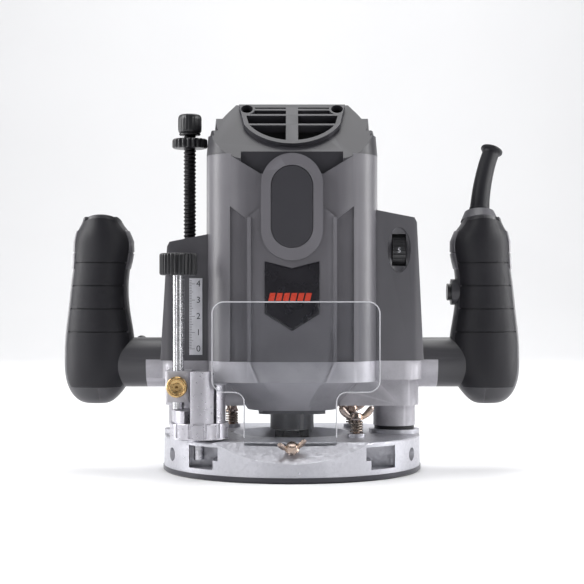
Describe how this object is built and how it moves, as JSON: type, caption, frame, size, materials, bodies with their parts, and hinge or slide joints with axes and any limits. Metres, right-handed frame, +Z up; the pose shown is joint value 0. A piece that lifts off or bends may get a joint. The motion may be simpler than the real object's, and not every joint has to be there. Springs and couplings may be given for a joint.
{
  "type": "plunge router",
  "caption": "Plunge router: round base with two guide columns, sliding motor unit with side handles, stepped turret and rod depth stop, height rod, clear chip shield.",
  "frame": {"origin": "underside of the sole on the spindle axis, the centre of the round base", "axes": "+X to the operator's right seen from the front, front faces -Y, +Z up along the spindle"},
  "size_m": [0.289, 0.163, 0.229],
  "materials": {
    "base_aluminium": "bead-blasted die casting",
    "bracket_aluminium": "grey-coated die casting with a fine sparkle",
    "sole_plastic": "smooth black phenolic sheet",
    "ground_steel": "ground and polished",
    "bright_steel": "machined",
    "black_steel": "black oxide",
    "spring_steel": "drawn wire",
    "zinc_steel": "zinc plated",
    "yellow_zinc": "yellow zinc plated",
    "turret_zinc": "die cast, satin",
    "brass": "knurled brass",
    "copper": "copper segments",
    "core_steel": "laminated steel",
    "dark_casting": "dark grey, satin",
    "grey_plastic": "fine textured glass-filled nylon",
    "side_grey_plastic": "fine textured glass-filled nylon",
    "dark_grey_plastic": "fine textured glass-filled nylon",
    "handle_plastic": "satin",
    "grip_rubber": "soft matt over-moulding",
    "black_rubber": "matt",
    "black_plastic": "fine textured",
    "badge_black": "printed foil",
    "scale_white": "printed foil",
    "board_green": "coated circuit board",
    "clear_plastic": "clear polycarbonate"
  },
  "bodies": {
    "base": {"base_casting": "base_aluminium", "sole_plate": "sole_plastic", "sole_screws": "zinc_steel", "column_left": "ground_steel", "column_right": "ground_steel", "column_bumpers": "black_rubber", "return_springs": "spring_steel", "clamp_springs": "spring_steel", "chip_shield": "clear_plastic", "turret_pivot": "zinc_steel"},
    "motor_unit": {"motor_bracket": "bracket_aluminium", "bearing_nose": "dark_casting", "motor_housing": "grey_plastic", "brush_covers": "dark_grey_plastic", "top_cap": "dark_grey_plastic", "cap_screws": "zinc_steel", "left_column_case": "dark_grey_plastic", "electronics_case_front": "side_grey_plastic", "electronics_case_rear": "side_grey_plastic", "case_screws": "zinc_steel", "front_badge": "badge_black", "rating_plate": "badge_black", "depth_scale": "scale_white", "right_handle_inner": "handle_plastic", "right_handle_outer": "handle_plastic", "right_grip_pad": "grip_rubber", "left_handle_inner": "handle_plastic", "left_handle_outer": "handle_plastic", "left_grip_pad": "grip_rubber", "cord_sleeve": "black_rubber", "cord_collar": "side_grey_plastic", "switch_unit": "black_plastic", "control_board": "board_green", "stator": "core_steel", "brush_gear": "brass", "brush_frame": "black_plastic", "lower_bearing": "bright_steel", "upper_bearing": "bright_steel"},
    "spindle": {"armature_shaft": "bright_steel", "armature_core": "core_steel", "commutator": "copper", "cooling_fan": "black_plastic", "collet": "bright_steel", "collet_nut": "black_steel"},
    "turret": {"turret_stop": "turret_zinc"},
    "depth_stop": {"depth_rod": "bright_steel", "depth_knob": "black_plastic"},
    "depth_lock": {"depth_lock_screw": "brass"},
    "height_stop": {"height_rod": "black_steel", "height_knob": "black_plastic"},
    "limit_nut": {"limit_nut": "black_plastic"},
    "plunge_lever": {"lock_lever": "black_plastic"},
    "trigger": {"trigger": "black_plastic"},
    "lock_on": {"lock_on_button": "black_plastic"},
    "spindle_lock": {"spindle_lock_button": "black_plastic"},
    "speed_dial": {"speed_dial": "black_plastic"},
    "shield_bolt": {"shield_wing_bolt": "yellow_zinc"},
    "fence_bolt_front_right": {"wing_bolt_front_right": "yellow_zinc"},
    "fence_bolt_rear_right": {"wing_bolt_rear_right": "yellow_zinc"},
    "fence_bolt_rear_left": {"wing_bolt_rear_left": "yellow_zinc"}
  },
  "joints": [
    {"name": "plunge", "type": "slide", "parent": "base", "child": "motor_unit", "axis": [0, 0, 1], "range_m": [0, 0.05], "deforming": ["return_springs"]},
    {"name": "spindle_spin", "type": "hinge", "parent": "motor_unit", "child": "spindle", "pos_m": [0, 0, 0.1], "axis": [0, 0, 1], "continuous": true},
    {"name": "turret_turn", "type": "hinge", "parent": "base", "child": "turret", "pos_m": [-0.056, -0.05, 0.03], "axis": [0, 0, 1], "range_deg": [0, 45]},
    {"name": "depth_slide", "type": "slide", "parent": "motor_unit", "child": "depth_stop", "axis": [0, 0, 1], "range_m": [0, 0.045]},
    {"name": "depth_lock_turn", "type": "hinge", "parent": "motor_unit", "child": "depth_lock", "pos_m": [-0.0685, -0.058, 0.0555], "axis": [0, -1, 0], "continuous": true},
    {"name": "height_rod_turn", "type": "hinge", "parent": "base", "child": "height_stop", "pos_m": [-0.065, 0, 0.1], "axis": [0, 0, 1], "continuous": true},
    {"name": "limit_nut_turn", "type": "hinge", "parent": "height_stop", "child": "limit_nut", "pos_m": [-0.065, 0, 0.206], "axis": [0, 0, 1], "continuous": true},
    {"name": "plunge_lever_turn", "type": "hinge", "parent": "motor_unit", "child": "plunge_lever", "pos_m": [-0.065, 0.03, 0.0542], "axis": [0, 1, 0], "range_deg": [-30, 40]},
    {"name": "trigger_press", "type": "slide", "parent": "motor_unit", "child": "trigger", "axis": [0, -1, 0], "range_m": [0, 0.004], "stiffness_N_per_m": 400},
    {"name": "lock_on_press", "type": "slide", "parent": "motor_unit", "child": "lock_on", "axis": [1, 0, 0], "range_m": [0, 0.0025], "stiffness_N_per_m": 300},
    {"name": "spindle_lock_press", "type": "slide", "parent": "motor_unit", "child": "spindle_lock", "axis": [0, -1, 0], "range_m": [0, 0.003], "stiffness_N_per_m": 400},
    {"name": "speed_dial_turn", "type": "hinge", "parent": "motor_unit", "child": "speed_dial", "pos_m": [0.066, -0.0215, 0.138], "axis": [1, 0, 0], "range_deg": [-135, 135]},
    {"name": "shield_bolt_turn", "type": "hinge", "parent": "base", "child": "shield_bolt", "pos_m": [0, -0.073, 0.01763], "axis": [0, -0.6084, 0.7936], "continuous": true},
    {"name": "fence_bolt_front_right_turn", "type": "hinge", "parent": "base", "child": "fence_bolt_front_right", "pos_m": [0.0395, -0.034, 0.03], "axis": [0, 0, 1], "continuous": true},
    {"name": "fence_bolt_rear_right_turn", "type": "hinge", "parent": "base", "child": "fence_bolt_rear_right", "pos_m": [0.0395, 0.034, 0.03], "axis": [0, 0, 1], "continuous": true},
    {"name": "fence_bolt_rear_left_turn", "type": "hinge", "parent": "base", "child": "fence_bolt_rear_left", "pos_m": [-0.0395, 0.034, 0.03], "axis": [0, 0, 1], "continuous": true}
  ]
}
